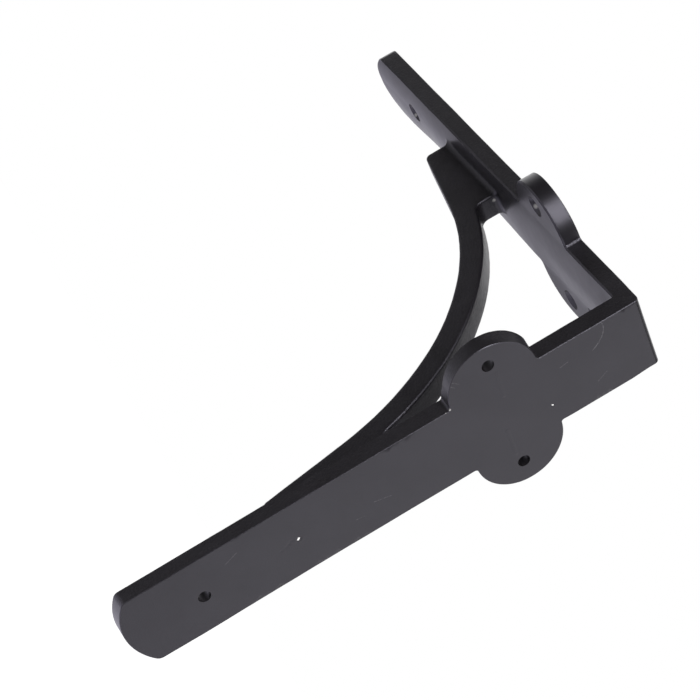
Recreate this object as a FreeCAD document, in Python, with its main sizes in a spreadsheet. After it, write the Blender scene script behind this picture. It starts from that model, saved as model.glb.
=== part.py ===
import FreeCAD, Part
import math
import os
import Sketcher
from FreeCAD import Vector

# A cast-iron shelf bracket: two flat arms at a right angle, a pair of screw ears on each arm
# and a curved web that braces the arms. The real one is poured in one piece, so it is one body.
#
# The wall arm hangs down along -Z with its outer face on the wall, the plane X = 0.
# The shelf arm runs out along +X with its outer face up, under the shelf. Y is across the arms.
# All features are drawn from the outer corner of the two arms. The body is then raised so that
# the part's origin lies on the wall face, midway between the wall ears' screw holes.

doc = FreeCAD.newDocument("shelf_bracket")

SIZES = [
    ("arm_width", 30.0, "width of both arms"),
    ("wall_length", 199.5, "wall arm, outer corner to the crown of its tip"),
    ("wall_root", 7.9, "wall arm thickness at the corner"),
    ("wall_tip", 6.8, "wall arm thickness at the tip"),
    ("wall_crown", 5.6, "how far the wall arm's rounded tip stands out in the middle"),
    ("shelf_length", 209.5, "shelf arm, outer corner to the crown of its tip"),
    ("shelf_root", 6.2, "shelf arm thickness at the corner"),
    ("shelf_tip", 6.9, "shelf arm thickness at the tip"),
    ("shelf_crown", 10.5, "how far the shelf arm's rounded tip stands out in the middle"),
    ("tip_corner", 3.0, "rounding where a tip meets the arm's edges"),
    ("outer_radius", 2.0, "rounding of the outer corner"),
    ("inner_radius", 0.8, "fillet of the inner corner"),
    ("wall_ear", 55.5, "corner to the middle of the wall arm's ears"),
    ("shelf_ear", 57.5, "corner to the middle of the shelf arm's ears"),
    ("wall_ear_radius", 16.4, "radius of the wall arm's ears about a point on the arm's edge"),
    ("shelf_ear_radius", 17.2, "radius of the shelf arm's ears about a point on the arm's edge"),
    ("notch_radius", 1.2, "fillet between an ear and the arm's edge"),
    ("hole_diameter", 4.5, "screw holes"),
    ("sink_depth", 2.0, "countersinks of the screw holes, at 45 degrees, on the inner faces"),
    ("ear_hole_offset", 8.5, "ear hole beyond the arm's edge"),
    ("tip_hole_inset", 23.5, "tip hole back from the tip's shoulders"),
    ("web_width", 9.6, "the brace across the arms"),
    ("web_depth", 9.0, "the brace between its two curved edges"),
    ("web_curve", 102.0, "radius of the brace's hollow outer edge"),
    ("foot_reach", 140.0, "corner to the far end of each foot"),
    ("foot_height", 18.0, "blunt end of a foot, from the arm's outer face"),
    ("foot_slope", 10.0, "rise of a foot's edge from its end, in degrees"),
    ("foot_corner", 2.4, "rounding of a foot's blunt corner"),
    ("shelf_opening", 98.0, "corner to the far end of the opening along the shelf arm"),
    ("wall_opening", 94.0, "corner to the far end of the opening along the wall arm"),
    ("opening_corner", 4.0, "rounding of the opening beside the brace"),
    ("root_radius", 2.4, "fillet where the brace grows out of an arm"),
    ("web_edge", 1.0, "softened edges of the brace"),
    ("inner_edge", 0.6, "softened edges round the inner faces of the arms and ears, at 45 degrees"),
    ("outer_edge", 0.2, "softened edges round the outer faces of the arms and ears, at 45 degrees"),
]

sheet = doc.addObject("Spreadsheet::Sheet", "Sizes")
for row, (alias, value, meaning) in enumerate(SIZES, start=1):
    sheet.set("A%d" % row, alias)
    sheet.set("B%d" % row, str(value))
    sheet.set("C%d" % row, meaning)
    sheet.setAlias("B%d" % row, alias)
doc.recompute()
size = {alias: value for alias, value, meaning in SIZES}
half_width = size["arm_width"] / 2
half_web = size["web_width"] / 2

body = doc.addObject("PartDesign::Body", "cast_bracket")
body.Label = "cast_bracket"

# A curve's points, and the origin and axes, as a sketch's constraints number them.
START, END, CENTRE = range(1, 4)
ORIGIN = (-1, 1)
X_AXIS, Y_AXIS = range(-1, -3, -1)

# How close a point must come to a place or a surface to count as on it.
TOLERANCE = 0.01


def new_sketch(name, role):
    """A sketch on one of the body's own origin planes."""
    sketch = body.newObject("Sketcher::SketchObject", name)
    plane = next(plane for plane in body.Origin.OriginFeatures if plane.Role == role)
    sketch.AttachmentSupport = [(plane, "")]
    sketch.MapMode = "FlatFace"
    return sketch


def constrain(sketch, *constraint):
    return sketch.addConstraint(Sketcher.Constraint(*constraint))


def drive(sketch, name, expression, *constraint):
    """Adds a dimension to a sketch and ties it to the sheet."""
    sketch.renameConstraint(constrain(sketch, *constraint), name)
    sketch.setExpression("Constraints." + name, expression)


def join_ends(sketch, loop):
    """Joins curves into a closed loop. Each entry is a curve, the point where the loop enters
    it, the point where the loop leaves it, and how it meets the next curve."""
    for current, following in zip(loop, loop[1:] + loop[:1]):
        curve, first, last, meeting = current
        constrain(sketch, meeting, curve, last, following[0], following[1])


def arc_about(centre, radius, start_angle, end_angle):
    """An arc that turns anticlockwise between two angles in degrees."""
    circle = Part.Circle(centre, Vector(0, 0, 1), radius)
    return Part.ArcOfCircle(circle, math.radians(start_angle), math.radians(end_angle))


def finish(feature):
    """Makes a feature the body's tip, recomputes it and stops if it failed."""
    body.Tip = feature
    doc.recompute()
    if "Invalid" in feature.State or "Error" in feature.State or feature.Shape.isNull():
        raise RuntimeError("feature failed: " + feature.Label)
    return feature


class Arm:
    """One arm, described by its run out from the corner, its reach across and its depth in."""

    def __init__(self, name, plane_role, lies_down):
        self.name = name
        self.plane_role = plane_role
        self.lies_down = lies_down
        self.direction = 1 if lies_down else -1
        self.along = "DistanceX" if lies_down else "DistanceY"
        self.across = "DistanceY" if lies_down else "DistanceX"
        self.middle_axis = X_AXIS if lies_down else Y_AXIS

    def size(self, part):
        return size["%s_%s" % (self.name, part)]

    def cell(self, part):
        return "Sizes.%s_%s" % (self.name, part)

    def in_sketch(self, run, reach):
        """A place on the outer face, in the arm's own sketch plane."""
        return Vector(run, reach, 0) if self.lies_down else Vector(reach, -run, 0)

    def run_expression(self, expression):
        """A run along the arm, signed the way the sketch plane measures it."""
        return "%d * (%s)" % (self.direction, expression)

    def place(self, point):
        """Run, reach and depth of a point of the solid."""
        if self.lies_down:
            return point.x, point.y, -point.z
        return -point.z, point.y, point.x

    def taper(self):
        return (self.size("tip") - self.size("root")) / self.size("length")

    def inner_depth(self, run):
        """Thickness of the tapered arm at a run from the corner."""
        return self.size("root") + self.taper() * run

    def shoulder(self):
        """Run at which the straight edges meet the crowned tip."""
        return self.size("length") - self.size("crown")


WALL = Arm("wall", "YZ_Plane", False)
SHELF = Arm("shelf", "XY_Plane", True)


def pad_blank(arm, sketch, name):
    """Pads an outline inwards from the arm's outer face, thicker than the arm will be."""
    doc.recompute()
    pad = body.newObject("PartDesign::Pad", name)
    pad.Profile = sketch
    pad.Reversed = arm.lies_down
    pad.setExpression("Length", "%s + %s" % (arm.cell("root"), arm.cell("tip")))
    return finish(pad)


def plate(arm):
    """Blank of one arm: straight edges and a crowned tip."""
    rise = arm.size("crown")
    crown_radius = (half_width ** 2 + rise ** 2) / (2 * rise)
    spread = math.degrees(math.asin(half_width / crown_radius))
    outward = 0 if arm.lies_down else -90
    corners = [arm.in_sketch(0, -half_width), arm.in_sketch(0, half_width),
               arm.in_sketch(arm.shoulder(), half_width), arm.in_sketch(arm.shoulder(), -half_width)]
    crown_centre = arm.in_sketch(arm.size("length") - crown_radius, 0)
    crown = arc_about(crown_centre, crown_radius, outward - spread, outward + spread)

    sketch = new_sketch(arm.name + "_outline", arm.plane_role)
    base = sketch.addGeometry(Part.LineSegment(corners[0], corners[1]), False)
    upper = sketch.addGeometry(Part.LineSegment(corners[1], corners[2]), False)
    tip = sketch.addGeometry(crown, False)
    lower = sketch.addGeometry(Part.LineSegment(corners[3], corners[0]), False)
    join_ends(sketch, [(base, START, END, "Coincident"), (upper, START, END, "Coincident"),
                       (tip, END, START, "Coincident"), (lower, START, END, "Coincident")])
    run, cross = ("Horizontal", "Vertical") if arm.lies_down else ("Vertical", "Horizontal")
    constrain(sketch, cross, base)
    constrain(sketch, run, upper)
    constrain(sketch, run, lower)
    constrain(sketch, "Symmetric", base, START, base, END, *ORIGIN)
    constrain(sketch, "PointOnObject", tip, CENTRE, arm.middle_axis)
    drive(sketch, "width", "Sizes.arm_width", "Distance", base, size["arm_width"])
    drive(sketch, "shoulder", arm.run_expression("%s - %s" % (arm.cell("length"), arm.cell("crown"))),
          arm.along, upper, END, arm.shoulder() * arm.direction)
    drive(sketch, "crown_radius", "(Sizes.arm_width ^ 2 / 4 + {0} ^ 2) / (2 * {0})".format(arm.cell("crown")),
          "Radius", tip, crown_radius)
    return pad_blank(arm, sketch, arm.name + "_plate")


def ear(arm, side_name, side):
    """Blank of one round ear, centred on an edge of the arm."""
    reach = side * half_width
    run = arm.size("ear")
    radius = arm.size("ear_radius")
    outline = Part.Circle(arm.in_sketch(run, reach), Vector(0, 0, 1), radius)
    name = "%s_%s_ear" % (arm.name, side_name)
    sketch = new_sketch(name + "_outline", arm.plane_role)
    disc = sketch.addGeometry(outline, False)
    drive(sketch, "radius", arm.cell("ear_radius"), "Radius", disc, radius)
    drive(sketch, "run", arm.run_expression(arm.cell("ear")), arm.along, disc, CENTRE, run * arm.direction)
    drive(sketch, "reach", "%d * Sizes.arm_width / 2" % side, arm.across, disc, CENTRE, reach)
    return pad_blank(arm, sketch, name)


def inner_faces():
    """Planes both arms and their ears down to the arms' tapered thickness."""
    clear = size["arm_width"]
    far_x = size["shelf_length"] + clear
    far_z = -size["wall_length"] - clear
    corner = Vector(size["wall_root"], -size["shelf_root"], 0)
    shelf_end = Vector(far_x, -size["shelf_tip"], 0)
    outside = Vector(far_x, far_z, 0)
    wall_end = Vector(size["wall_tip"], far_z, 0)

    sketch = new_sketch("inner_outline", "XZ_Plane")
    shelf_face = sketch.addGeometry(Part.LineSegment(corner, shelf_end), False)
    beyond = sketch.addGeometry(Part.LineSegment(shelf_end, outside), False)
    below = sketch.addGeometry(Part.LineSegment(outside, wall_end), False)
    wall_face = sketch.addGeometry(Part.LineSegment(wall_end, corner), False)
    join_ends(sketch, [(line, START, END, "Coincident") for line in (shelf_face, beyond, below, wall_face)])
    constrain(sketch, "Vertical", beyond)
    constrain(sketch, "Horizontal", below)
    drive(sketch, "beyond", "Sizes.shelf_length + Sizes.arm_width", "DistanceX", beyond, END, far_x)
    drive(sketch, "below", "-Sizes.wall_length - Sizes.arm_width", "DistanceY", below, START, far_z)

    def thickness_at(line, x_size, z_size):
        """A point of an inner face, at a size from each of the two outer faces, or on one."""
        place = Vector(size[x_size] if x_size else 0, -size[z_size] if z_size else 0, 0)
        point = sketch.addGeometry(Part.Point(place), True)
        constrain(sketch, "PointOnObject", point, START, line)
        if x_size:
            drive(sketch, "%s_x%d" % (x_size, line), "Sizes." + x_size, "DistanceX", point, START, place.x)
        else:
            constrain(sketch, "PointOnObject", point, START, Y_AXIS)
        if z_size:
            drive(sketch, "%s_z%d" % (z_size, line), "-Sizes." + z_size, "DistanceY", point, START, place.y)
        else:
            constrain(sketch, "PointOnObject", point, START, X_AXIS)

    thickness_at(shelf_face, None, "shelf_root")
    thickness_at(shelf_face, "shelf_length", "shelf_tip")
    thickness_at(wall_face, "wall_root", None)
    thickness_at(wall_face, "wall_tip", "wall_length")
    doc.recompute()
    before = body.Tip.Shape.Volume
    pocket = body.newObject("PartDesign::Pocket", "inner_faces")
    pocket.Profile = sketch
    pocket.Type = "ThroughAll"
    pocket.SideType = "Symmetric"
    finish(pocket)
    if pocket.Shape.Volume > before - 1:
        raise RuntimeError("the inner faces were not cut")
    return pocket


# The brace in side view: a foot on each arm, with a blunt end and a sloping edge, that runs into
# the hollow arc. The opening's edge is an arc about the same centre, one web depth further out.
slope = math.tan(math.radians(size["foot_slope"]))
lean = math.hypot(1, slope)
opening_radius = size["web_curve"] + size["web_depth"]
brace_centre = (size["foot_height"] + slope * size["foot_reach"] + size["web_curve"] * lean) / (1 + slope)


def opening_rise(end):
    """How far the opening reaches from an arm's outer face, at its end along that arm."""
    span = brace_centre - end
    return brace_centre - (opening_radius ** 2 - span ** 2) ** 0.5


def opening_angle(end):
    """Turn, in degrees, from square to an arm, seen from the arcs' centre, to the opening's end."""
    return math.degrees(math.asin((brace_centre - end) / opening_radius))


def brace():
    """The curved web, sunk half way into both arms."""
    reach = size["foot_reach"]
    height = size["foot_height"]
    shelf_stop = size["shelf_opening"]
    wall_stop = size["wall_opening"]
    curve = size["web_curve"]
    far_touch = brace_centre - curve * slope / lean
    near_touch = brace_centre - curve / lean
    shelf_sink = size["shelf_root"] / 2
    wall_sink = size["wall_root"] / 2
    path = [Vector(shelf_stop, -shelf_sink, 0), Vector(reach, -shelf_sink, 0), Vector(reach, -height, 0),
            Vector(far_touch, -near_touch, 0), Vector(near_touch, -far_touch, 0),
            Vector(height, -reach, 0), Vector(wall_sink, -reach, 0), Vector(wall_sink, -wall_stop, 0),
            Vector(opening_rise(wall_stop), -wall_stop, 0), Vector(shelf_stop, -opening_rise(shelf_stop), 0)]
    sketch = new_sketch("brace_outline", "XZ_Plane")

    def line(first, last):
        return sketch.addGeometry(Part.LineSegment(path[first], path[last]), False)

    def arc(radius, start_angle, end_angle):
        centre = Vector(brace_centre, -brace_centre, 0)
        return sketch.addGeometry(arc_about(centre, radius, start_angle, end_angle), False)

    shelf_seat = line(0, 1)
    shelf_blunt = line(1, 2)
    shelf_slope = line(2, 3)
    hollow = arc(curve, 90 + size["foot_slope"], 180 - size["foot_slope"])
    wall_slope = line(4, 5)
    wall_blunt = line(5, 6)
    wall_seat = line(6, 7)
    wall_end = line(7, 8)
    opening = arc(opening_radius, 90 + opening_angle(shelf_stop), 180 - opening_angle(wall_stop))
    shelf_end = line(9, 0)
    join_ends(sketch, [
        (shelf_seat, START, END, "Coincident"), (shelf_blunt, START, END, "Coincident"),
        (shelf_slope, START, END, "Tangent"), (hollow, START, END, "Tangent"),
        (wall_slope, START, END, "Coincident"), (wall_blunt, START, END, "Coincident"),
        (wall_seat, START, END, "Coincident"), (wall_end, START, END, "Coincident"),
        (opening, END, START, "Coincident"), (shelf_end, START, END, "Coincident")])
    for flat in (shelf_seat, wall_blunt, wall_end):
        constrain(sketch, "Horizontal", flat)
    for upright in (shelf_blunt, wall_seat, shelf_end):
        constrain(sketch, "Vertical", upright)
    constrain(sketch, "Coincident", hollow, CENTRE, opening, CENTRE)
    drive(sketch, "hollow", "Sizes.web_curve", "Radius", hollow, curve)
    drive(sketch, "opening", "Sizes.web_curve + Sizes.web_depth", "Radius", opening, opening_radius)
    drive(sketch, "shelf_sink", "-Sizes.shelf_root / 2", "DistanceY", shelf_seat, START, -shelf_sink)
    drive(sketch, "wall_sink", "Sizes.wall_root / 2", "DistanceX", wall_seat, START, wall_sink)
    drive(sketch, "shelf_reach", "Sizes.foot_reach", "DistanceX", shelf_blunt, END, reach)
    drive(sketch, "shelf_height", "-Sizes.foot_height", "DistanceY", shelf_blunt, END, -height)
    drive(sketch, "wall_reach", "-Sizes.foot_reach", "DistanceY", wall_blunt, START, -reach)
    drive(sketch, "wall_height", "Sizes.foot_height", "DistanceX", wall_blunt, START, height)
    drive(sketch, "shelf_opening", "Sizes.shelf_opening", "DistanceX", shelf_end, START, shelf_stop)
    drive(sketch, "wall_opening", "-Sizes.wall_opening", "DistanceY", wall_end, START, -wall_stop)
    drive(sketch, "shelf_angle", "(180 + Sizes.foot_slope) * 1 deg", "Angle", shelf_slope,
          math.radians(180 + size["foot_slope"]))
    drive(sketch, "wall_angle", "(270 - Sizes.foot_slope) * 1 deg", "Angle", wall_slope,
          math.radians(270 - size["foot_slope"]))
    doc.recompute()
    pad = body.newObject("PartDesign::Pad", "brace")
    pad.Profile = sketch
    pad.SideType = "Symmetric"
    pad.setExpression("Length", "Sizes.web_width")
    return finish(pad)


def near(value, target):
    return abs(value - target) < TOLERANCE


def edges_where(test):
    """Names of the edges whose sample points all pass a test."""
    names = []
    for number, edge in enumerate(body.Tip.Shape.Edges, start=1):
        low, high = edge.ParameterRange
        points = [edge.valueAt(low + (high - low) * share) for share in (0.0, 0.25, 0.5, 0.75, 1.0)]
        if all(test(point) for point in points):
            names.append("Edge%d" % number)
    return names


def dress(kind, name, amount, alias, edges):
    """Fillets or chamfers edges by a size from the sheet."""
    if not edges:
        raise RuntimeError("no edges for " + name)
    base = body.Tip
    feature = body.newObject("PartDesign::" + kind, name)
    feature.Base = (base, edges)
    feature.setExpression(amount, "Sizes." + alias)
    return finish(feature)


def fillet(name, alias, edges):
    return dress("Fillet", name, "Radius", alias, edges)


def edges_square_to(arm, run, reach):
    """Edges square to an arm's faces, at a run and, on both sides, at a reach."""
    def test(point):
        place = arm.place(point)
        return near(place[0], run) and near(abs(place[1]), reach)
    return edges_where(test)


def edges_across_at(x, depth):
    """Edges across the arms, at a place in side view."""
    return edges_where(lambda point: near(point.x, x) and near(-point.z, depth))


def on_inner_face(arm, point):
    run, reach, depth = arm.place(point)
    return near(depth, arm.inner_depth(run))


def on_web_root(point):
    """Whether a point lies where the brace grows out of either arm."""
    for arm in (WALL, SHELF):
        run, reach, depth = arm.place(point)
        beside = abs(reach) < half_web + TOLERANCE
        along = arm.size("opening") - TOLERANCE < run < size["foot_reach"] + TOLERANCE
        if beside and along and on_inner_face(arm, point):
            return True
    return False


def on_web_side(point):
    """Whether a point lies on a flat side of the brace, off the arms or on their inner faces."""
    for arm in (WALL, SHELF):
        run, reach, depth = arm.place(point)
        if depth < arm.inner_depth(run) - TOLERANCE:
            return False
    return near(abs(point.y), half_web)


def web_rims():
    """Edges round the flat sides of the brace, without those on the arms."""
    roots = edges_where(on_web_root)
    return [name for name in edges_where(on_web_side) if name not in roots]


def on_outer_face(arm, point):
    run, reach, depth = arm.place(point)
    return near(depth, 0)


def arm_rims(on_face):
    """Edges round both arms' outlines, on the faces that a test names."""
    names = []
    for arm in (WALL, SHELF):
        tip_start = arm.shoulder() - 2 * size["tip_corner"]

        def test(point):
            run, reach, depth = arm.place(point)
            at_outline = abs(reach) > half_width - TOLERANCE or run > tip_start
            return at_outline and on_face(arm, point)
        names += edges_where(test)
    return names


def screw_holes(arm):
    """One screw hole in each ear and one near the tip, countersunk on the inner face."""
    ear_reach = half_width + size["ear_hole_offset"]
    ear_reach_cells = "(Sizes.arm_width / 2 + Sizes.ear_hole_offset)"
    tip_run = arm.shoulder() - size["tip_hole_inset"]
    tip_run_cells = "%s - %s - Sizes.tip_hole_inset" % (arm.cell("length"), arm.cell("crown"))
    holes = [
        ("left", arm.size("ear"), arm.cell("ear"), ear_reach, ear_reach_cells),
        ("right", arm.size("ear"), arm.cell("ear"), -ear_reach, "-" + ear_reach_cells),
        ("tip", tip_run, tip_run_cells, 0, None)]
    radius = size["hole_diameter"] / 2

    sketch = new_sketch(arm.name + "_hole_outlines", arm.plane_role)
    for name, run, run_cells, reach, reach_cells in holes:
        hole = sketch.addGeometry(Part.Circle(arm.in_sketch(run, reach), Vector(0, 0, 1), radius), False)
        drive(sketch, name + "_diameter", "Sizes.hole_diameter", "Diameter", hole, size["hole_diameter"])
        drive(sketch, name + "_run", arm.run_expression(run_cells), arm.along, hole, CENTRE,
              run * arm.direction)
        if reach_cells:
            drive(sketch, name + "_reach", reach_cells, arm.across, hole, CENTRE, reach)
        else:
            constrain(sketch, "PointOnObject", hole, CENTRE, arm.middle_axis)
    doc.recompute()
    before = body.Tip.Shape.Volume
    pocket = body.newObject("PartDesign::Pocket", arm.name + "_holes")
    pocket.Profile = sketch
    pocket.Type = "Length"
    pocket.Reversed = not arm.lies_down
    pocket.setExpression("Length", "%s + %s" % (arm.cell("root"), arm.cell("tip")))
    finish(pocket)
    thinnest = min(arm.size("root"), arm.size("tip"))
    least = len(holes) * math.pi * radius ** 2 * thinnest
    if before - pocket.Shape.Volume < least - 1:
        raise RuntimeError("the screw holes were not cut through the " + arm.name + " arm")

    def on_mouth(point):
        run, reach, depth = arm.place(point)
        at_hole = any(near(math.hypot(run - hole[1], reach - hole[3]), radius) for hole in holes)
        return at_hole and on_inner_face(arm, point)
    return dress("Chamfer", arm.name + "_countersinks", "Size", "sink_depth", edges_where(on_mouth))


for arm in (WALL, SHELF):
    plate(arm)
    ear(arm, "left", 1)
    ear(arm, "right", -1)
inner_faces()
for arm in (WALL, SHELF):
    fillet(arm.name + "_tip_corners", "tip_corner", edges_square_to(arm, arm.shoulder(), half_width))
    notches = edges_square_to(arm, arm.size("ear") - arm.size("ear_radius"), half_width)
    notches += edges_square_to(arm, arm.size("ear") + arm.size("ear_radius"), half_width)
    fillet(arm.name + "_notches", "notch_radius", notches)
brace()
feet = edges_across_at(size["foot_reach"], size["foot_height"])
feet += edges_across_at(size["foot_height"], size["foot_reach"])
fillet("foot_corners", "foot_corner", feet)
opening_corners = edges_across_at(size["shelf_opening"], opening_rise(size["shelf_opening"]))
opening_corners += edges_across_at(opening_rise(size["wall_opening"]), size["wall_opening"])
fillet("opening_corners", "opening_corner", opening_corners)
fillet("web_edges", "web_edge", web_rims())
fillet("web_roots", "root_radius", edges_where(on_web_root))
inner_corner_x = (size["wall_root"] + WALL.taper() * size["shelf_root"]) / (1 - WALL.taper() * SHELF.taper())
fillet("inner_corner", "inner_radius", edges_across_at(inner_corner_x, SHELF.inner_depth(inner_corner_x)))
fillet("outer_corner", "outer_radius", edges_across_at(0, 0))
dress("Chamfer", "inner_edges", "Size", "inner_edge", arm_rims(on_inner_face))
dress("Chamfer", "outer_edges", "Size", "outer_edge", arm_rims(on_outer_face))
screw_holes(WALL)
screw_holes(SHELF)
body.setExpression("Placement.Base.z", "Sizes.wall_ear")
doc.recompute()

for item in doc.Objects:
    if "Invalid" in item.State or "Error" in item.State:
        raise RuntimeError("failed: " + item.Label)
if body.Shape.isNull() or not body.Shape.isValid() or len(body.Shape.Solids) != 1:
    raise RuntimeError("the bracket is not one valid solid")

os.makedirs("parts", exist_ok=True)
body.Shape.exportStep(os.path.join("parts", body.Label + ".step"))
box = body.Shape.BoundBox
print("%s: %.0f mm3, %.1f x %.1f x %.1f mm" % (body.Label, body.Shape.Volume, box.XLength, box.YLength,
                                               box.ZLength))
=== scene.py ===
# %% [markdown]
# # A cast iron shelf bracket
# The bracket is one iron casting, painted black: a wall arm, a shelf arm, two pairs of
# ears with screw holes near the corner, and a curved brace whose feet stand on the arms.
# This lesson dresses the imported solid. It nets the casting finely enough to hold dents,
# gives it the small faults of a sand mould, paints it, and lights it as small ironware
# is lit for a catalogue.

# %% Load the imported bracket
import math

import bpy
import numpy as np
from mathutils import Matrix, Vector


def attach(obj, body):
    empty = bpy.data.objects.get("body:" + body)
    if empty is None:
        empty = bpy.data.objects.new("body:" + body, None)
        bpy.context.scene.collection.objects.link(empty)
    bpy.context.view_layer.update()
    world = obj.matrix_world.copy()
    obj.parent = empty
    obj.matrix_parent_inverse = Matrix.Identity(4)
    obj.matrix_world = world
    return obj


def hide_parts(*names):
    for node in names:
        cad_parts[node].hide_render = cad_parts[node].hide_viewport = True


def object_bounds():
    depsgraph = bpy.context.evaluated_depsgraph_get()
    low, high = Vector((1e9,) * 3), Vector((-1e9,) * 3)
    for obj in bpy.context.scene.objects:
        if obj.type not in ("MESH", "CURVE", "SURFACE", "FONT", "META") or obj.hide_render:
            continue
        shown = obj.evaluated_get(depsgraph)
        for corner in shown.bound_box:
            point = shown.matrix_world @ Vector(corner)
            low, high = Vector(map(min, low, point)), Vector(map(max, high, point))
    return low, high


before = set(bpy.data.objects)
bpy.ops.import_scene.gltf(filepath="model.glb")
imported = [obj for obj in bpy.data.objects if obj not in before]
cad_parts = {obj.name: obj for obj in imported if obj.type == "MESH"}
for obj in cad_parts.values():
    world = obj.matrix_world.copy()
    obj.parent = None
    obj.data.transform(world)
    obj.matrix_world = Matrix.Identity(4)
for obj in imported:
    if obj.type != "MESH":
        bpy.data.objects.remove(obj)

solid_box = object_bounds()
print("the packed bracket's box in metres:", solid_box)

# %% [markdown]
# ## The camera
# The photograph was taken from about 0.6 m away, from the wall's side, with the camera
# rolled over, so the wall arm runs down to the lower left. A camera can be aimed with a
# Track To constraint, but a roll is easier to state as directions: what is ahead of the
# lens, and what is up in the picture.

# %% Camera
PICTURE_SIDE = 700.0                  # pixels
FOCAL_PIXELS = 1800.0
SENSOR = 36.0                         # mm
camera_place = Vector((-0.4166, 0.4168, -0.0808))
ahead = Vector((0.75614, -0.64955, 0.07963)).normalized()
picture_up = Vector((0.53191, 0.68091, 0.50343))
picture_right = ahead.cross(picture_up).normalized()
picture_up = picture_right.cross(ahead).normalized()

lens = bpy.data.cameras.new("studio_camera")
lens.sensor_width = SENSOR
lens.lens = FOCAL_PIXELS / PICTURE_SIDE * SENSOR
lens.clip_start = 0.01
camera = bpy.data.objects.new("studio_camera", lens)
bpy.context.collection.objects.link(camera)
turn = Matrix((picture_right, picture_up, -ahead)).transposed()
camera.matrix_world = Matrix.Translation(camera_place) @ turn.to_4x4()
bpy.context.scene.camera = camera
print("lens of", round(lens.lens, 2), "mm at", tuple(camera_place))

# %% [markdown]
# ## A net that can be dented
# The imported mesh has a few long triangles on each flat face, and nothing can be dented
# there. A voxel remesh would give an even net, but it blurs the crisp edge that the flat
# outer faces have on the real casting. So a copy of the solid is merged, and its longest
# edges are split again and again. Beautify then turns the diagonals on flat ground, so
# the triangles come out well shaped, and every crisp edge stays where it was. The
# solid comes with normals stored for its own large faces. They would shade a dented
# copy wrongly, so the copy drops them first.

# %% Copy and merge the solid
SAME_POINT = 0.000005                 # metres
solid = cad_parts["cast_bracket"]
casting = bpy.data.objects.new("bracket_casting", solid.data.copy())
bpy.context.collection.objects.link(casting)
mesh = casting.data
bpy.ops.object.select_all(action="DESELECT")
casting.select_set(True)
bpy.context.view_layer.objects.active = casting
bpy.ops.mesh.customdata_custom_splitnormals_clear()
bpy.ops.object.mode_set(mode="EDIT")
bpy.ops.mesh.select_all(action="SELECT")
bpy.ops.mesh.remove_doubles(threshold=SAME_POINT)
bpy.ops.object.mode_set(mode="OBJECT")
print("merged copy:", len(mesh.polygons), "triangles")

# %% Split the long edges
MM = 0.001
SPLIT_OVER = (24, 12, 6, 3.4, 2.6)    # mm
FLAT = math.radians(2)
bpy.context.tool_settings.mesh_select_mode = (False, True, False)


def points():
    """The casting's points as an array, in mm."""
    flat = np.empty(3 * len(mesh.vertices))
    mesh.vertices.foreach_get("co", flat)
    return flat.reshape(-1, 3) / MM


def place_points(moved):
    """Put the casting's points at these places, in mm."""
    mesh.vertices.foreach_set("co", (moved * MM).ravel())
    mesh.update()


def split(chosen):
    """Split the chosen edges in two, and even out the triangles on flat ground."""
    mesh.polygons.foreach_set("select", np.zeros(len(mesh.polygons), bool))
    mesh.vertices.foreach_set("select", np.zeros(len(mesh.vertices), bool))
    mesh.edges.foreach_set("select", chosen)
    bpy.ops.object.mode_set(mode="EDIT")
    bpy.ops.mesh.subdivide(number_cuts=1)
    bpy.ops.mesh.select_all(action="SELECT")
    bpy.ops.mesh.quads_convert_to_tris(quad_method="BEAUTY", ngon_method="BEAUTY")
    bpy.ops.mesh.beautify_fill(angle_limit=FLAT)
    bpy.ops.object.mode_set(mode="OBJECT")


def edge_ends():
    """The places of both ends of every edge, in mm."""
    ends = np.empty(2 * len(mesh.edges), int)
    mesh.edges.foreach_get("vertices", ends)
    return points()[ends.reshape(-1, 2)]


def edge_lengths(ends):
    """The length of every edge, in mm."""
    return np.linalg.norm(ends[:, 0] - ends[:, 1], axis=1)


for longest in SPLIT_OVER:
    split(edge_lengths(edge_ends()) > longest)
print("fine net:", len(mesh.polygons), "triangles")

# %% [markdown]
# ## True rounds
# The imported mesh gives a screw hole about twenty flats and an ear's rim about as many,
# and their corners catch the light. A finer net alone would keep the flats. So the net
# is split finer there, and every point of a round wall is set at the radius the real
# one has: on the bore or the cone of a countersink, and round the ears and the tips.

# %% Measures of the arms, the holes and the rims
SHELF_FACE = 55.5                     # z of the shelf face, in mm
WALL_ROOT, WALL_THINS, WALL_LENGTH = 7.9, 1.1, 199.5
SHELF_ROOT, SHELF_THICKENS, SHELF_LENGTH = 6.2, 0.7, 209.5
PAST_ARM = 9                          # a depth that is past the inner face of either arm
HOLE_RADIUS = 2.25
SINK_DEPTH = 2.0
CORNER_RADIUS = 2.0
CORNER_HALF = 14.9                    # half the width of the rounded outer corner
INNER_SOFT = 0.6                      # how far the edges of the inner faces are broken
OUTER_SOFT = 0.2                      # and those of the outer faces
HOLES = (                             # middle on the outer face, and axis
    ((0, 23.5, 0), 0), ((0, -23.5, 0), 0), ((0, 0, -114.9), 0),
    ((57.5, 23.5, SHELF_FACE), 2), ((57.5, -23.5, SHELF_FACE), 2),
    ((175.5, 0, SHELF_FACE), 2))
RIMS = (                              # middle, axis, radius, way out, how far out it starts
    ((0, 15, 0), 0, 16.4, (0, 1, 0), 0.2),
    ((0, -15, 0), 0, 16.4, (0, -1, 0), 0.2),
    ((57.5, 15, SHELF_FACE), 2, 17.2, (0, 1, 0), 0.2),
    ((57.5, -15, SHELF_FACE), 2, 17.2, (0, -1, 0), 0.2),
    ((0, 0, -121.11), 0, 22.89, (0, 0, -1), 18.0),
    ((193.54, 0, SHELF_FACE), 2, 15.96, (1, 0, 0), 6.5))
HOLE_PLAY = 0.02                      # how near to a wall a point counts as on it, in mm
RIM_PLAY = 0.08
CORNER_PLAY = 0.1
QUARTER_PLAY = 0.01                   # how far past its quarter turn the corner still counts


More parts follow.
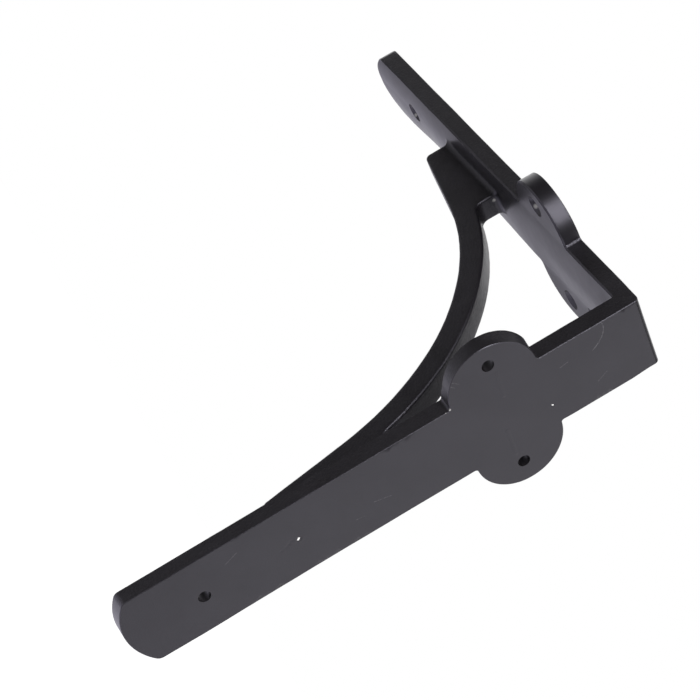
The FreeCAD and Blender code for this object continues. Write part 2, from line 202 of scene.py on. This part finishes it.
def shelf_thickness(x):
    """The shelf arm's thickness at this distance from the wall, in mm."""
    return SHELF_ROOT + SHELF_THICKENS * x / SHELF_LENGTH


def wall_thickness(z):
    """The wall arm's thickness at this height, in mm."""
    return WALL_ROOT - WALL_THINS * (SHELF_FACE - z) / WALL_LENGTH


def from_axis(spots, middle, axis):
    """Each spot's offset from an axis, its depth, and how far short of the inner face."""
    offset = spots - np.array(middle, float)
    depth = abs(offset[..., axis])
    offset[..., axis] = 0
    thickness = wall_thickness(spots[..., 2]) if axis == 0 else shelf_thickness(spots[..., 0])
    return offset, depth, thickness - depth


# %% Tell which points lie on a round wall
def hole_wall(spots, hole):
    """Offset from a hole's axis, the wall's radius there, and which spots lie on it."""
    offset, _, short = from_axis(spots, *hole)
    wall = HOLE_RADIUS + np.clip(SINK_DEPTH - short, 0, 2 * SINK_DEPTH)
    return offset, wall, np.linalg.norm(offset, axis=-1) < wall + HOLE_PLAY


def rim_wall(spots, rim):
    """The same for the rim of an ear or a tip."""
    middle, axis, radius, outwards, start = rim
    offset, depth, short = from_axis(spots, middle, axis)
    wall = (radius - np.clip(OUTER_SOFT - depth, 0, OUTER_SOFT)
            - np.clip(INNER_SOFT - short, 0, INNER_SOFT))
    near = abs(np.linalg.norm(offset, axis=-1) - wall) < RIM_PLAY
    return offset, wall, near & (offset @ np.array(outwards) > start) & (short > -HOLE_PLAY)


def corner_wall(spots, radius):
    """The same for the rounded outer corner, whose axis runs across the arms."""
    offset = spots - np.array((radius, 0, SHELF_FACE - radius))
    offset[..., 1] = 0
    outside = (offset[..., 0] < QUARTER_PLAY) & (offset[..., 2] > -QUARTER_PLAY)
    near = abs(np.linalg.norm(offset, axis=-1) - radius) < CORNER_PLAY
    wall = np.full(near.shape, float(radius))
    return offset, wall, near & outside & (abs(spots[..., 1]) < CORNER_HALF)


def shelf_under(spots, start):
    """The shelf arm's inner face from this x on, which has no radius and is only split."""
    offset, _, short = from_axis(spots, (0, 0, SHELF_FACE), 2)
    on_face = (abs(short) < HOLE_PLAY) & (spots[..., 0] > start)
    return offset, np.linalg.norm(offset, axis=-1), on_face


# %% Split and round them
walls = [(hole_wall, hole, 0.5) for hole in HOLES]       # test, measure, longest edge in mm
walls += [(rim_wall, rim, 0.9) for rim in RIMS]
walls += [(corner_wall, CORNER_RADIUS, 0.6), (shelf_under, PAST_ARM, 1.4)]
AXIS_PLAY = 0.1                       # mm from an axis, where a point has no way out
for coarser in (2, 1):
    ends = edge_ends()
    chosen = np.zeros(len(ends), bool)
    for find, measure, longest in walls:
        on_wall = find(ends, measure)[2].all(axis=1)
        chosen |= on_wall & (edge_lengths(ends) > longest * coarser)
    split(chosen)

spots = points()
for find, measure, _ in walls:
    offset, wall, on_wall = find(spots, measure)
    away = np.linalg.norm(offset, axis=1)
    away[away < AXIS_PLAY] = wall[away < AXIS_PLAY]
    spots[on_wall] += (offset * (wall / away - 1)[:, None])[on_wall]
place_points(spots)
print("with true rounds:", len(mesh.polygons), "triangles")

# %% [markdown]
# ## Marks in the paint
# The wall arm's face has one bright chip with a trail of small pits, and a few specks.
# They could be a bump in the paint, but a dent in the mesh also shows in the part's
# own shape. The net is split finer round each mark first.

# %% Finer net round the marks
WALL_MARKS = (                        # y, z, radius, depth, in mm
    (0.0, -79.4, 0.75, 0.28), (1.1, -82.0, 0.40, 0.13), (0.35, -83.0, 0.45, 0.15),
    (-0.25, -84.2, 0.40, 0.12), (-0.65, -86.2, 0.45, 0.10), (0.7, -81.0, 0.35, 0.10),
    (-6.7, 15.5, 0.50, 0.15))
FINE_ROUNDS = 2
MARK_SPREAD, MARK_MARGIN = 2.2, 0.6   # the fine net reaches this many radii and mm more
WALL_SKIN = 0.5                       # x of an edge that lies on the wall face, at most

for _ in range(FINE_ROUNDS):
    middles = edge_ends().mean(axis=1)
    close = np.zeros(len(middles), bool)
    for mark in WALL_MARKS:
        mark_y, mark_z, radius = mark[:3]
        away = np.hypot(middles[:, 1] - mark_y, middles[:, 2] - mark_z)
        close |= (away < MARK_SPREAD * radius + MARK_MARGIN) & (middles[:, 0] < WALL_SKIN)
    split(close)
print("with marks:", len(mesh.polygons), "triangles")

# %% [markdown]
# ## What the mould did
# No sand casting is as true as its drawing. The shelf arm's inner face is domed and
# turns a little towards its tip, the wall arm's tip leans down at the back, one ear is
# thinner, and the holes are a fraction of a millimetre off their marks. Each fault is a
# smooth push of the points near it, like a soft selection dragged by hand.

# %% Where a point lies on its arm
HALF_WIDTH = 15.0
BRACE_FADE = 12.0                     # mm of the brace over which a push of its root fades


def ease(value, start, end):
    """A smooth step from 0 at start to 1 at end."""
    share = np.clip((value - start) / (end - start), 0, 1)
    return share * share * (3 - 2 * share)


moved = points()
x, y, z = moved.T.copy()
below = SHELF_FACE - z
across = np.clip(y, -HALF_WIDTH, HALF_WIDTH)
far_share = np.clip(-across / HALF_WIDTH, 0, 1)
thickness = shelf_thickness(x)
inner_share = (np.clip(below / thickness, 0, 1)
               * (1 - ease(below, thickness, thickness + BRACE_FADE)))
print("points to push:", len(moved))

# %% Dome the shelf arm's inner face
DOME_BEND, DOME_TILT, DOME_MIDDLE = 0.00678, -0.0517, -0.75    # near the tip, in mm
TIP_FAR_DROP = 0.8                    # more at the tip's far edge
ROOT_BEND = 0.0015                    # the same face's bend near the corner
FAR_EAR_RISE = 0.7
SHELF_FACE_RISE = 0.15

dome = DOME_BEND * across ** 2 + DOME_TILT * across + DOME_MIDDLE
dome -= TIP_FAR_DROP * far_share * ease(x, 164, 192)
turned = ease(x, 60, 165)
inner_push = dome * turned + ROOT_BEND * (across ** 2 - HALF_WIDTH ** 2) * (1 - turned)
inner_push += FAR_EAR_RISE * ease(-y, 0, 20) * ease(x, 18, 30) * (1 - ease(x, 56, 80))
moved[:, 2] += inner_push * inner_share * ease(x, PAST_ARM, 20)
moved[:, 2] += SHELF_FACE_RISE * ease(below, 3, 0.2) * ease(x, 3, 15)
print("inner face pushed by", round(float(inner_push.min()), 2), "to",
      round(float(inner_push.max()), 2), "mm")

# %% Push the wall arm's edge, tip and near ear
FAR_EDGE_BULGE = 0.45                 # in two stretches of the wall arm
TIP_LEAN = 0.9
EAR_THINNING, EAR_LIFT = 0.7, 0.8

bulge = FAR_EDGE_BULGE * ease(-z, 92, 122)
bulge += FAR_EDGE_BULGE * ease(z, 12, 22) * (1 - ease(z, 44, 52))
moved[:, 1] -= bulge * far_share * (1 - ease(x, 7, 14))

lean = np.clip(x / 6.6, 0, 1) * (1 - ease(z, -138, -126)) * (0.6 + 0.4 * across / HALF_WIDTH)
moved[:, 2] -= TIP_LEAN * lean

thin_ear = ease(y, 15.5, 21) * (1 - ease(abs(z), 17, 22)) * np.clip(x / 7, 0, 1)
moved[:, 0] -= EAR_THINNING * thin_ear
moved[:, 2] += EAR_LIFT * thin_ear
print("points in the thin ear:", int((thin_ear > 0).sum()))

# %% Drift the holes and press in the marks
HOLE_DRIFTS = (                       # y, z, drift in y, drift in z, in mm
    (-23.5, 0.0, 0.8, -0.8), (23.5, 0.0, 0.2, 0.6), (0.0, -114.9, -0.7, -0.2))
DRIFT_FULL, DRIFT_END = 3.4, 8.5      # mm from a hole's axis
DENT_SKIN = 0.3                       # x of a point that a dent moves, at most
LIP_HEIGHT, LIP_PLACE, LIP_WIDTH = 0.25, 1.5, 0.45    # shares of a dent's depth and radius

for hole_y, hole_z, drift_y, drift_z in HOLE_DRIFTS:
    away = np.hypot(y - hole_y, z - hole_z)
    pull = (1 - ease(away, DRIFT_FULL, DRIFT_END)) * (x < PAST_ARM)
    moved[:, 1] += drift_y * pull
    moved[:, 2] += drift_z * pull

for mark_y, mark_z, radius, depth in WALL_MARKS:
    away = np.hypot(y - mark_y, z - mark_z) / radius
    dent = np.exp(-away ** 2) - LIP_HEIGHT * np.exp(-((away - LIP_PLACE) / LIP_WIDTH) ** 2)
    moved[:, 0] += depth * dent * (x < DENT_SKIN)
place_points(moved)
print("largest push:", round(float(np.abs(moved - np.stack((x, y, z), 1)).max()), 2), "mm")

# %% [markdown]
# ## Waves and sand
# The flat faces came out smooth, with slow waves of a few centimetres. The sides and
# the brace met looser sand and are rougher. Displace modifiers with a soft cloud
# texture move the mesh itself, so outlines and long highlights waver too. A vertex
# group says how strongly each place takes them.

# %% Say where the skin is sandy
FACE_SAND, RIM_SAND = 0.12, 0.03      # shares of the full roughness
SIDE_GAIN = 1.2
SMOOTH_HOLE = 4.6                     # mm from a hole's axis
FACING_DOWN = -0.8
SAND_STEPS = 10

normals = np.empty(3 * len(mesh.vertices))
mesh.vertices.foreach_get("normal", normals)
normals = normals.reshape(-1, 3)
x, y, z = points().T
on_brace = (x > PAST_ARM) & (SHELF_FACE - z > PAST_ARM)
sand = np.where(on_brace, 1.0, np.clip(abs(normals[:, 1]) * SIDE_GAIN, FACE_SAND, 1.0))
for hole_y, hole_z, drift_y, drift_z in HOLE_DRIFTS:
    away = np.hypot(y - hole_y - drift_y, z - hole_z - drift_z)
    sand[(away < SMOOTH_HOLE) & (x < PAST_ARM)] = 0.0
sand[(normals[:, 2] < FACING_DOWN) & ~on_brace] = 0.0
for rim in RIMS:
    sand[rim_wall(points(), rim)[2]] = RIM_SAND

group = casting.vertex_groups.new(name="sand")
for step in range(SAND_STEPS + 1):
    chosen = np.nonzero(np.round(sand * SAND_STEPS) == step)[0]
    group.add(chosen.tolist(), step / SAND_STEPS, "REPLACE")
sand_marks = mesh.attributes.new("sandy_skin", "FLOAT", "POINT")
sand_marks.data.foreach_set("value", sand.astype(np.float32))
print("sandy share of the skin:", round(float(sand.mean()), 2))


# %% Move the skin
def cloud(name, size, depth):
    """A soft procedural noise whose lumps are about this size, in mm."""
    texture = bpy.data.textures.new(name, "CLOUDS")
    texture.cloud_type = "COLOR"
    texture.noise_scale = size * MM
    texture.noise_depth = depth
    return texture


def displace(name, size, depth, height, group_name=""):
    """Push the skin about by a cloud's three colours, by up to a third of this height."""
    bpy.ops.object.modifier_add(type="DISPLACE")
    modifier = casting.modifiers[-1]
    modifier.texture = cloud(name, size, depth)
    modifier.texture_coords = "LOCAL"
    modifier.direction = "RGB_TO_XYZ"
    modifier.strength = height * MM
    modifier.mid_level = 0.5
    modifier.vertex_group = group_name
    bpy.ops.object.modifier_apply(modifier=modifier.name)


CRISP = math.radians(32)              # steeper edges stay sharp in the shading
displace("slow_waves", 28, 0, 0.2)
displace("sand_lumps", 5, 2, 0.12, "sand")
displace("sand_grains", 1.8, 1, 0.05, "sand")
mesh.materials.clear()
bpy.ops.object.shade_smooth_by_angle(angle=CRISP)
print("finished casting:", len(mesh.polygons), "triangles")

# %% [markdown]
# ## Black satin paint
# The casting was dipped or sprayed in one thin coat of black paint with a satin gloss.
# Paint on rough iron is not one flat colour: it is a little thinner on high ground and
# glossier where it ran smooth. Noise read from Object coordinates gives that without
# any unwrapping, and small bumps give the grain that is too fine for the mesh.

# %% Helpers for the paint, the floor and the backdrop
paint = bpy.data.materials.new("black_satin_paint")
paint.use_nodes = True
paint_tree = paint.node_tree
place = paint_tree.nodes.new("ShaderNodeTexCoord").outputs["Object"]


def is_socket(item):
    """Whether this comes from another node, and isn't a plain number or colour."""
    return isinstance(item, bpy.types.NodeSocket)


def add_node(kind, inputs, **settings):
    """Add a node with these inputs to the tree that they come from."""
    tree = next(item for item in inputs.values() if is_socket(item)).id_data
    node = tree.nodes.new(kind)
    for name, value in settings.items():
        setattr(node, name, value)
    for name, item in inputs.items():
        if is_socket(item):
            tree.links.new(item, node.inputs[name])
        else:
            node.inputs[name].default_value = item
    return node


def noise(scale, detail=2.0):
    """Noise in the paint, with this many lumps to the metre."""
    inputs = {"Vector": place, "Scale": scale, "Detail": detail}
    return add_node("ShaderNodeTexNoise", inputs).outputs["Fac"]


def span(source, low, high, start, end, shape="LINEAR"):
    """Turn a value from low to high into one from start to end."""
    inputs = {0: source, 1: low, 2: high, 3: start, 4: end}
    return add_node("ShaderNodeMapRange", inputs, interpolation_type=shape).outputs[0]


def maths(operation, first, second):
    """Join two values, or a value and a number, by a sum."""
    return add_node("ShaderNodeMath", {0: first, 1: second}, operation=operation).outputs[0]


def vector_maths(operation, first, second):
    """Join two vectors, or a vector and a fixed one."""
    node = add_node("ShaderNodeVectorMath", {0: first, 1: second}, operation=operation)
    return node.outputs["Value" if operation in ("DOT_PRODUCT", "DISTANCE") else "Vector"]


def tone(share, first, second):
    """Mix two colours, each a plain colour or another mix."""
    first, second = (item if is_socket(item) else (*item, 1) for item in (first, second))
    inputs = {0: share, 6: first, 7: second}
    return add_node("ShaderNodeMix", inputs, data_type="RGBA").outputs[2]


# %% [markdown]
# ## Scratches, specks, painted highlights and the mould's line
# The wall face has a curved scratch near the corner, a few hairlines, two chips down to
# the iron and a faint line where the mould's halves met. A few light grey spots are painted
# highlights, where glints fall in two countersinks, at the brace's root and on an ear's notch.
# A painted picture would need unwrapping. A distance to a short line or to a point, taken
# from Object coordinates, draws each mark where it lies on the real face.

# %% Draw the marks
ARC = ((14.6, 40.8), (12.6, 40.9), (10.7, 40.3), (9.1, 39.3), (7.7, 37.9), (6.6, 36.3),
       (5.7, 34.7))                   # y, z on the wall face, in mm
HAIRLINES = (
    ((6.4, 22.4), (6.9, 25.6)), ((25.2, -12.4), (23.2, -10.4)),
    ((24.2, -13.4), (22.6, -12.2)), ((-3.0, -52.0), (-4.5, -46.0)),
    ((-6.0, -60.0), (-6.4, -57.0)), ((-8.0, 33.0), (-6.0, 37.0)),
    ((9.0, -99.0), (7.0, -104.0)))
MOULD_LINES = (((19.0, 2.2), (8.6, 1.6)), ((-6.4, -1.9), (-17.6, -2.2)))
CHIPS = (((0.15, -79.3), (-0.1, -79.6), 0.62), ((-6.7, 15.5), (-6.8, 15.6), 0.42))
GLINTS = (                            # painted highlights, light grey spots where glints fall: place and radius, in mm
    ((177.8, -2.9, 48.7), 0.9), ((59.9, 21.4, 50.1), 1.1), ((98.0, 2.4, 46.4), 0.9),
    ((0.1, 15.4, -16.6), 0.55), ((0.1, 15.2, -18.2), 0.4))
ARC_WIDTH, HAIR_WIDTH, MOULD_WIDTH = 0.22, 0.18, 0.9
HAIR_SHARE = 0.6                      # a hairline is this much as bright as the arc
BARE_OVER = 0.35


def scratch(start, end, width):
    """1 on a line on the wall face, from start to end as (y, z) in mm, and 0 off it."""
    first = Vector((0, *start)) * MM
    run = Vector((0, *end)) * MM - first
    along = run.normalized()
    offset = vector_maths("SUBTRACT", place, first)
    reach = span(vector_maths("DOT_PRODUCT", offset, along), 0, run.length, 0, run.length)
    nearest = add_node("ShaderNodeVectorMath", {0: along, "Scale": reach}, operation="SCALE")
    away = vector_maths("DISTANCE", offset, nearest.outputs[0])
    return span(away, 0.3 * width * MM, width * MM, 1, 0)


def spot(middle, radius):
    """1 within a small ball about a point, in mm, and 0 away from it."""
    away = vector_maths("DISTANCE", place, Vector(middle) * MM)
    return span(away, 0.4 * radius * MM, radius * MM, 1, 0)


def any_of(values):
    """The largest of several values."""
    total = values[0]
    for value in values[1:]:
        total = maths("MAXIMUM", total, value)
    return total


arc = any_of([scratch(start, end, ARC_WIDTH) for start, end in zip(ARC, ARC[1:])])
hairs = any_of([scratch(start, end, HAIR_WIDTH) for start, end in HAIRLINES])
broken = span(noise(1500, 1), 0.42, 0.55, 0.15, 1.0)
scratched = maths("MULTIPLY", any_of([arc, maths("MULTIPLY", hairs, HAIR_SHARE)]), broken)
mould_line = any_of([scratch(start, end, MOULD_WIDTH) for start, end in MOULD_LINES])
# painted highlights: light grey spots where the glints fall
painted_glints = any_of([spot(middle, radius) for middle, radius in GLINTS])
ragged = span(noise(1800, 1), 0.3, 0.7, 0.7, 1.2)
chipped = maths("MULTIPLY", any_of([scratch(*chip) for chip in CHIPS]), ragged)
bare = maths("GREATER_THAN", chipped, BARE_OVER)
print("marks in the paint:", len(HAIRLINES) + len(CHIPS) + len(GLINTS) + 1)

# %% Mix the paint's colour and gloss
THICK_PAINT, THIN_PAINT = (0.0055, 0.0048, 0.0055), (0.008, 0.0072, 0.0085)
SCRATCH_GREY, GLINT_GREY, BARE_IRON = (0.16, 0.155, 0.165), (0.45, 0.44, 0.43), (0.72, 0.71, 0.70)
GLOSS_TINT = (0.88, 0.85, 1.0, 1)

shader = paint_tree.nodes["Principled BSDF"]
shader.inputs["IOR"].default_value = 1.5
shader.inputs["Specular Tint"].default_value = GLOSS_TINT
sandy = paint_tree.nodes.new("ShaderNodeAttribute")
sandy.attribute_name = "sandy_skin"
sandy = sandy.outputs["Fac"]
colour = tone(span(noise(60, 4), 0.35, 0.65, 0, 1), THICK_PAINT, THIN_PAINT)
colour = tone(maths("MULTIPLY", scratched, 0.5), colour, SCRATCH_GREY)
# painted highlights: the paint turns light grey where the glints fall
colour = tone(maths("MULTIPLY", painted_glints, 0.8), colour, GLINT_GREY)
colour = tone(bare, colour, BARE_IRON)
paint_tree.links.new(colour, shader.inputs["Base Color"])
gloss_patches = span(noise(250, 3), 0.3, 0.7, 0.355, 0.38)
roughness = maths("ADD", gloss_patches, span(sandy, 0, 1, 0, 0.05))
paint_tree.links.new(roughness, shader.inputs["Roughness"])
print("colour and gloss mixed from", len(paint_tree.nodes), "nodes")

# %% Add the paint's grain
GRAIN_HEIGHT, FINE_HEIGHT = 0.0003, 0.0001     # metres
SCRATCH_DEPTH, MOULD_LINE_HEIGHT = -2.4, 6.0   # times the fine grain

grain = add_node("ShaderNodeBump", {"Distance": GRAIN_HEIGHT, "Height": noise(1500, 3),
                                    "Strength": span(sandy, 0, 1, 0.02, 0.35)})
lines = maths("ADD", noise(2600, 2), maths("MULTIPLY", scratched, SCRATCH_DEPTH))
lines = maths("ADD", lines, maths("MULTIPLY", mould_line, MOULD_LINE_HEIGHT))
fine = add_node("ShaderNodeBump", {"Distance": FINE_HEIGHT, "Height": lines,
                                   "Strength": span(sandy, 0, 0.12, 0.02, 0.14),
                                   "Normal": grain.outputs[0]})
paint_tree.links.new(fine.outputs[0], shader.inputs["Normal"])
mesh.materials.append(paint)
print("paint has", len(paint_tree.nodes), "nodes")

# %% [markdown]
# ## Stand in for the plain solid
# A real bracket is one pour of iron, so one piece takes the place of the solid. It
# could also lie over the solid as a skin, but then the plain faces would show through
# wherever a fault goes inward.

# %% Hang the casting on its body
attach(casting, "root")
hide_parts("cast_bracket")
print("the casting rides on root and stands in for cast_bracket")

# %% [markdown]
# ## Floor and backdrop
# The picture's background is plain white with no visible shadow, because the floor lies
# well below the bracket. A white floor in bright light would do, but then its light
# fills the dark faces. So the floor stays a pale grey that glows only for the camera.
# The paint's gloss sees its glow in two places: far off on the right, where the white
# backdrop of the studio stands, and in a small patch under the bracket.

# %% Floor
FLOOR_DROP = 0.2
FLOOR_RADIUS, FLOOR_MIDDLE_X = 6.0, 0.1
FLOOR_GREY = (0.6, 0.6, 0.6, 1)
FLOOR_GLOW = 0.97
MIRRORED_TINT, WHITE = (0.97, 0.93, 1.15), (1, 1, 1)
FAR_WAY, RIGHT_WAY = (1, 0.3, 0), (0, -1, 0)
PATCH_MIDDLE = (0, -0.3, 0)

bpy.ops.object.select_all(action="DESELECT")
bpy.ops.mesh.primitive_circle_add(vertices=96, radius=FLOOR_RADIUS, fill_type="NGON",
                                  location=(FLOOR_MIDDLE_X, 0, solid_box[0][2] - FLOOR_DROP))
floor = bpy.context.object
floor.name = "studio_floor"
floor_paint = bpy.data.materials.new("pale_floor")
floor_paint.use_nodes = True
nodes = floor_paint.node_tree.nodes
matt = nodes["Principled BSDF"]
matt.inputs["Base Color"].default_value = FLOOR_GREY
matt.inputs["Roughness"].default_value = 0.9
matt.inputs["Specular IOR Level"].default_value = 0.0

on_floor = nodes.new("ShaderNodeTexCoord").outputs["Object"]
rays = nodes.new("ShaderNodeLightPath").outputs
far_off = span(vector_maths("DOT_PRODUCT", on_floor, FAR_WAY), 0.8, 1.35, 0, 1.25, "SMOOTHSTEP")
right = span(vector_maths("DOT_PRODUCT", on_floor, RIGHT_WAY), 0.1, 0.7, 0, 1, "SMOOTHSTEP")
patch = span(vector_maths("DISTANCE", on_floor, PATCH_MIDDLE), 0.25, 0.7, 0.9, 0, "SMOOTHSTEP")
lit = maths("MAXIMUM", maths("MULTIPLY", far_off, right), patch)
shown = maths("MAXIMUM", rays["Is Camera Ray"], maths("MULTIPLY", rays["Is Glossy Ray"], lit))
glow = add_node("ShaderNodeEmission", {
    "Color": tone(rays["Is Camera Ray"], MIRRORED_TINT, WHITE),
    "Strength": maths("MULTIPLY", shown, FLOOR_GLOW)})
both = add_node("ShaderNodeAddShader", {0: matt.outputs[0], 1: glow.outputs[0]})
floor_paint.node_tree.links.new(both.outputs[0], nodes["Material Output"].inputs["Surface"])
floor.data.materials.append(floor_paint)
print("floor", round(FLOOR_DROP / MM), "mm below the bracket")

# %% [markdown]
# ## Light around the bracket
# A photographer's tent is white behind the object and dim elsewhere. A plain white
# world would do the background, but its light would come from all sides and flatten
# the dark paint. So the camera sees plain white, the gloss sees the white backdrop
# ahead of the camera, and everything else is lit by a dim grey.

# %% World
DIM = 0.16


def blend(share, first, second):
    """Mix two values, each a number or another value."""
    return add_node("ShaderNodeMix", {0: share, 2: first, 3: second}).outputs[0]


world = bpy.data.worlds.new("studio")
bpy.context.scene.world = world
world.use_nodes = True
nodes = world.node_tree.nodes
background = nodes["Background"]
background.inputs["Color"].default_value = (*WHITE, 1)
around = nodes.new("ShaderNodeTexCoord").outputs["Generated"]
rays = nodes.new("ShaderNodeLightPath").outputs
level_ahead = Vector((ahead.x, ahead.y, 0)).normalized()
facing = vector_maths("DOT_PRODUCT", around, level_ahead)
backdrop = span(facing, 0.15, 0.9, 0.01, 1.6, "SMOOTHSTEP")
mirrored = blend(rays["Is Glossy Ray"], DIM, backdrop)
seen = blend(rays["Is Camera Ray"], mirrored, 1.0)
world.node_tree.links.new(seen, background.inputs["Strength"])
print("dim light from the world", DIM)

# %% [markdown]
# ## Three soft lamps
# Glossy black paint shows the lamps more than its own colour. The wall arm's face
# mirrors a broad lamp at the side, which makes it the lightest grey. A lamp above
# gives the shelf arm's upper edges their line. A long low lamp near the camera draws
# the thin lines along the rims. A sun lamp would draw hard shadows instead.

# %% Lamps
BRACKET_MIDDLE = Vector((0.07, 0, -0.03))
LAMPS = (                             # name, direction, distance, width, height, watts
    ("side_lamp", (-0.70, -0.70, 0.10), 1.3, 1.4, 1.4, 9.1),
    ("top_lamp", (-0.35, 0.15, 0.9), 1.5, 1.2, 1.2, 10),
    ("camera_lamp", (-0.65, 0.70, 0.40), 1.2, 1.1, 0.35, 17))


def lamp(name, direction, distance, width, height, watts):
    """A soft lamp, with its width level, that looks at the bracket's middle."""
    light = bpy.data.lights.new(name, "AREA")
    light.shape = "RECTANGLE"
    light.size = width
    light.size_y = height
    light.energy = watts
    item = bpy.data.objects.new(name, light)
    bpy.context.collection.objects.link(item)
    item.location = BRACKET_MIDDLE + Vector(direction).normalized() * distance
    item.rotation_euler = (item.location - BRACKET_MIDDLE).to_track_quat("Z", "Y").to_euler()


for measures in LAMPS:
    lamp(*measures)
bpy.context.scene.view_settings.view_transform = "Standard"
print("lamps", [name for name, *_ in LAMPS])

# %% [markdown]
# ## The sizes
# The faults are all under one and a half millimetres, so the dressed casting must fill
# nearly the same box as the solid.

# %% Sizes
bpy.context.view_layer.update()
